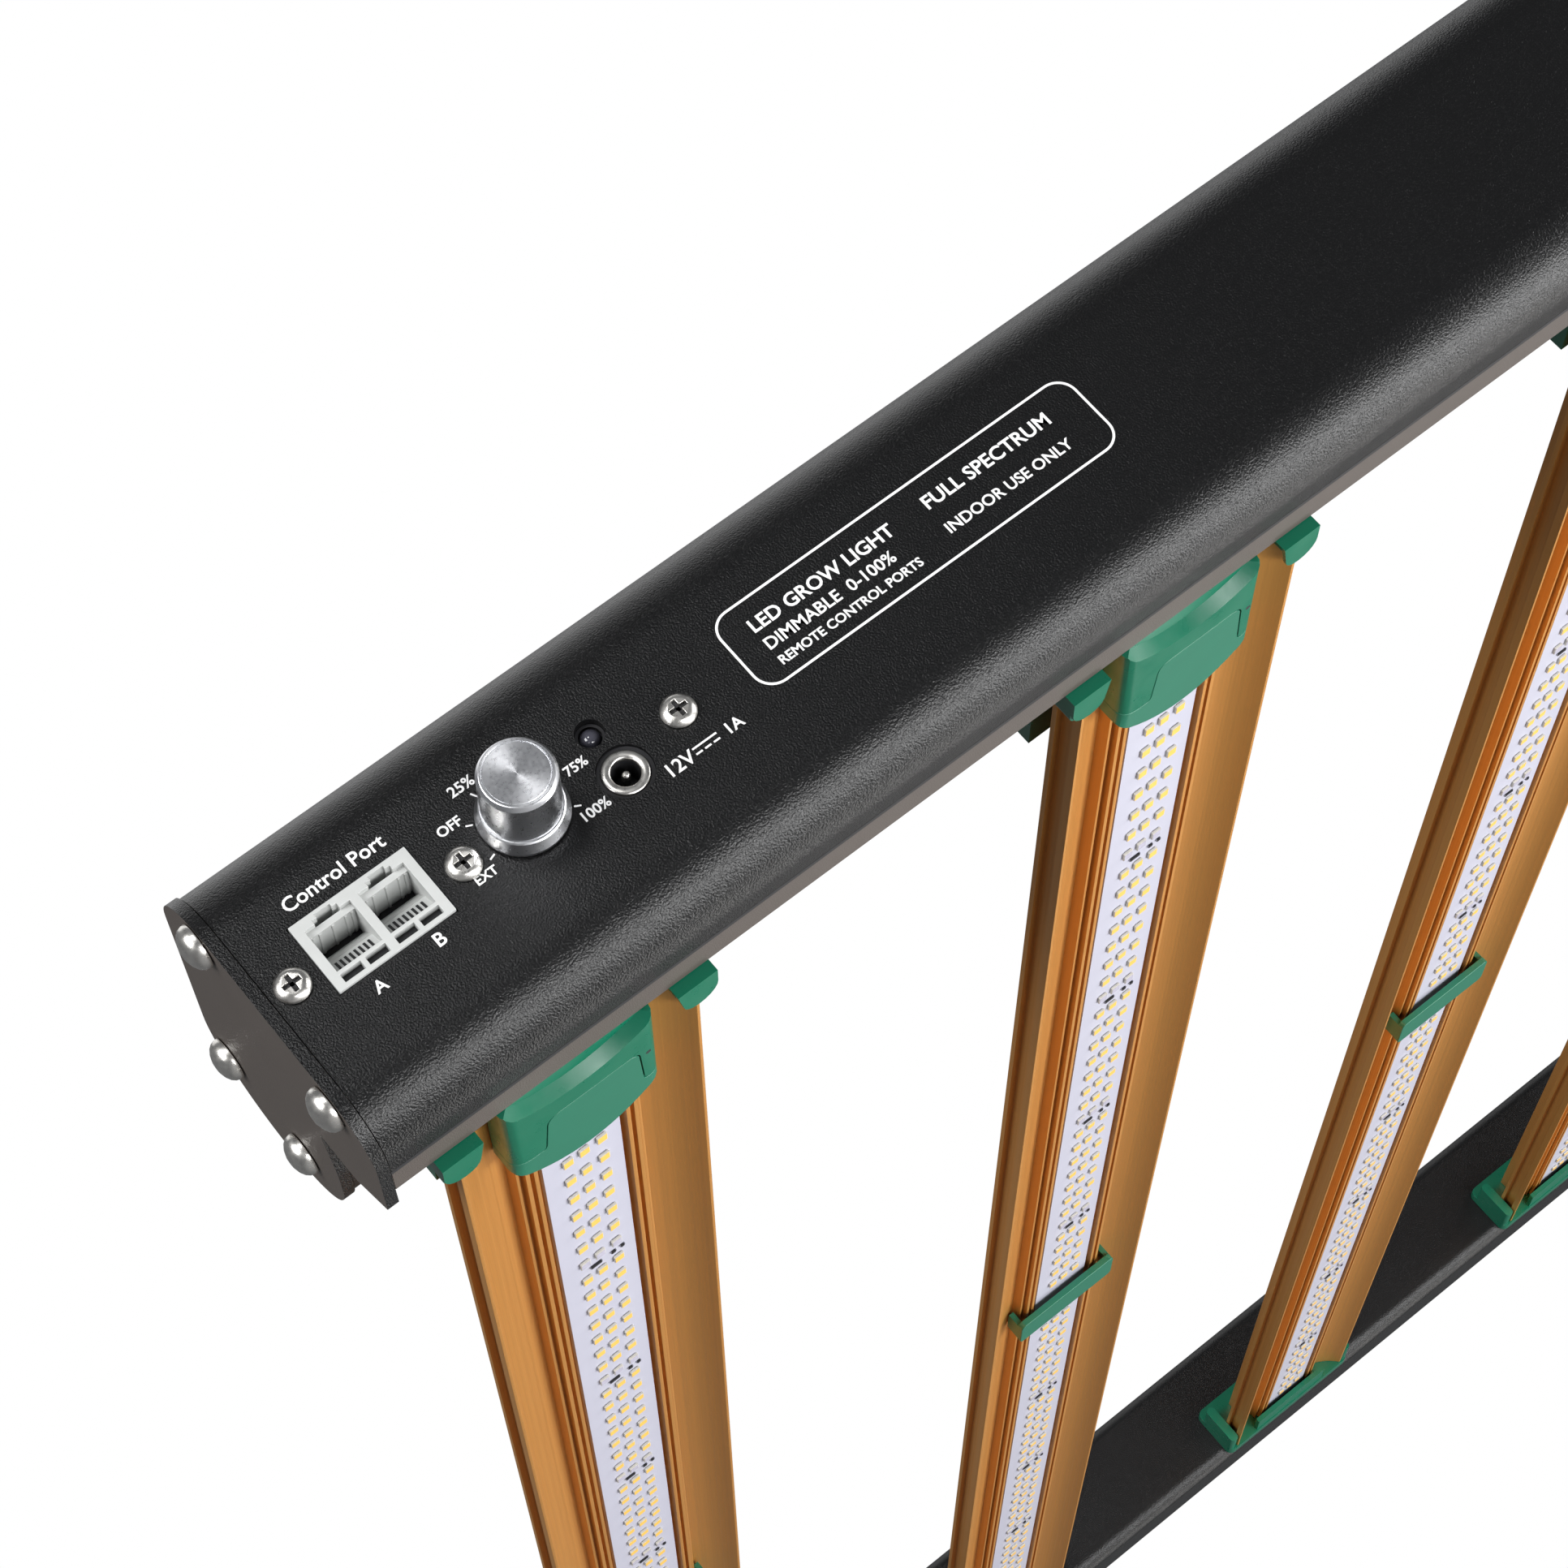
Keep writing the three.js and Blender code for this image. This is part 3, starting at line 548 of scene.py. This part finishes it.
def populate(bar):
    """Fills a bar's board with rows of LEDs, their solder pads and a few small parts."""
    low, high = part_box(f"led_board_{bar}")
    middle = (low.x + high.x) / 2
    face = low.z
    bm = bmesh.new()
    rows = int((high.y - PANEL - (FIRST_ROW + LAST_ROW_GAP) * MM) / (ROW_PITCH * MM))
    for row in range(rows + 1):
        y = PANEL + (FIRST_ROW + row * ROW_PITCH) * MM
        if clip_low.y - CLIP_GAP * MM < y < clip_high.y + CLIP_GAP * MM:
            continue
        clear = row % GROUP == CLEAR_ROW
        window = CLEAR if clear else PHOSPHOR
        window_x, window_y = CHIP_HALF_X - CHIP_RIM, CHIP_HALF_Y - CHIP_RIM
        for u in COLUMNS:
            x = middle + u * MM + random.uniform(-COLUMN_SCATTER, COLUMN_SCATTER) * MM
            block(bm, x, y, CHIP_HALF_X, CHIP_HALF_Y, face, CHIP_HEIGHT, 0.01, PACKAGE, 0.12)
            block(bm, x, y, window_x, window_y, face, CHIP_HEIGHT + 0.05, CHIP_HEIGHT - 0.1, window)
            for end in (-1, 1):
                pad = y + end * (CHIP_HALF_Y + PAD_GAP) * MM
                block(bm, x, pad, PAD_HALF_X, PAD_HALF_Y, face, PAD_HEIGHT, 0, SOLDER)
        if clear:
            part = y + 0.5 * ROW_PITCH * MM
            for u, half_x in SMALL_PARTS:
                x = middle + u * MM
                block(bm, x, part, half_x, 0.5, face, 0.6, 0, BODY, 0.05)
                block(bm, x, part, half_x + END_CAP, 0.45, face, 0.45, 0, SOLDER)
    finish_mesh(f"leds_{bar}", bm, [package, phosphor, clear_led, lead, dark])


for bar in range(1, BARS + 1):
    populate(bar)

# ---- floor, light and camera ----------------------------------------------------------------------------
FLOOR_DROP = 3.2  # metres below the light, so that views from below stay above the floor
FLOOR_HALF = 12
bm = bmesh.new()
bmesh.ops.create_grid(bm, x_segments=1, y_segments=1, size=FLOOR_HALF)
mesh = bpy.data.meshes.new("floor")
bm.to_mesh(mesh)
bm.free()
mesh.materials.append(floor_paint.material)
floor = bpy.data.objects.new("floor", mesh)
floor.location = (0, 0, cad_bounds[0][2] - FLOOR_DROP)
bpy.context.scene.collection.objects.link(floor)


def softbox(name, location, target, size, power, color=(1, 1, 1)):
    """A rectangular area light at a place, aimed at a target; sizes in metres, power in watts."""
    light = bpy.data.lights.new(name, "AREA")
    light.shape = "RECTANGLE"
    light.size, light.size_y = size
    light.energy = power
    light.color = color
    lamp = bpy.data.objects.new(name, light)
    lamp.location = location
    lamp.rotation_euler = (Vector(target) - Vector(location)).to_track_quat("-Z", "Y").to_euler()
    bpy.context.scene.collection.objects.link(lamp)


softbox("under_front", (0.27, -0.62, -1.5), (-0.3, 0.0, -0.06), (2.8, 0.45), 56)
softbox("under_bars", (0.6, 1.3, -1.7), (0.0, 0.5, -0.08), (1.6, 0.8), 18, (1.0, 0.98, 0.95))
softbox("key_left", (-2.2, -1.6, 0.7), (-0.4, 0.0, -0.04), (1.4, 1.4), 62)
softbox("rim_right", (1.9, -0.6, -0.5), (0.0, 0.3, -0.07), (1.0, 1.2), 22)
softbox("overhead", (0.3, 1.0, 2.6), (0.0, 0.5, 0.0), (3.0, 2.4), 22)
softbox("knob_glint", (-0.66, -1.54, 0.5), (-0.42, -0.05, -0.04), (0.35, 0.35), 5)

# The camera sees a white background that is brighter than the light it gives.
world = bpy.data.worlds.new("studio")
bpy.context.scene.world = world
world.use_nodes = True
tree = world.node_tree
background = tree.nodes["Background"]
background.inputs["Color"].default_value = (0.9, 0.92, 0.95, 1)
background.inputs["Strength"].default_value = 0.17
seen = tree.nodes.new("ShaderNodeBackground")
seen.inputs["Color"].default_value = (1, 1, 1, 1)
seen.inputs["Strength"].default_value = 1.0
mix = tree.nodes.new("ShaderNodeMixShader")
tree.links.new(tree.nodes.new("ShaderNodeLightPath").outputs["Is Camera Ray"], mix.inputs["Fac"])
tree.links.new(background.outputs["Background"], mix.inputs[1])
tree.links.new(seen.outputs["Background"], mix.inputs[2])
tree.links.new(mix.outputs["Shader"], tree.nodes["World Output"].inputs["Surface"])

# The camera stands below and in front of the left end, rolled to one side. It is placed from the left
# end, the panel and the housing's top, in metres.
EYE_X, EYE_Y, EYE_Z = -0.1011, -0.7312, -0.3493
FOCAL_LENGTH = 86.96
SENSOR_WIDTH = 36
HEADING, CLIMB, ROLL = math.radians(16.72), math.radians(20.3), math.radians(-41.92)
ahead = Vector((math.sin(HEADING) * math.cos(CLIMB), math.cos(HEADING) * math.cos(CLIMB), math.sin(CLIMB)))
level = Vector((math.cos(HEADING), -math.sin(HEADING), 0))
upright = level.cross(ahead)
right = level * math.cos(ROLL) + upright * math.sin(ROLL)
up = right.cross(ahead)
camera_data = bpy.data.cameras.new("camera")
camera_data.lens = FOCAL_LENGTH
camera_data.sensor_width = SENSOR_WIDTH
camera_data.clip_start = 0.01
camera_data.clip_end = 50
camera = bpy.data.objects.new("camera", camera_data)
turn = Matrix((right, up, -ahead)).transposed().to_4x4()
camera.matrix_world = Matrix.Translation((LEFT + EYE_X, PANEL + EYE_Y, EYE_Z)) @ turn
bpy.context.scene.collection.objects.link(camera)
bpy.context.scene.camera = camera
bpy.context.scene.view_settings.view_transform = "Standard"
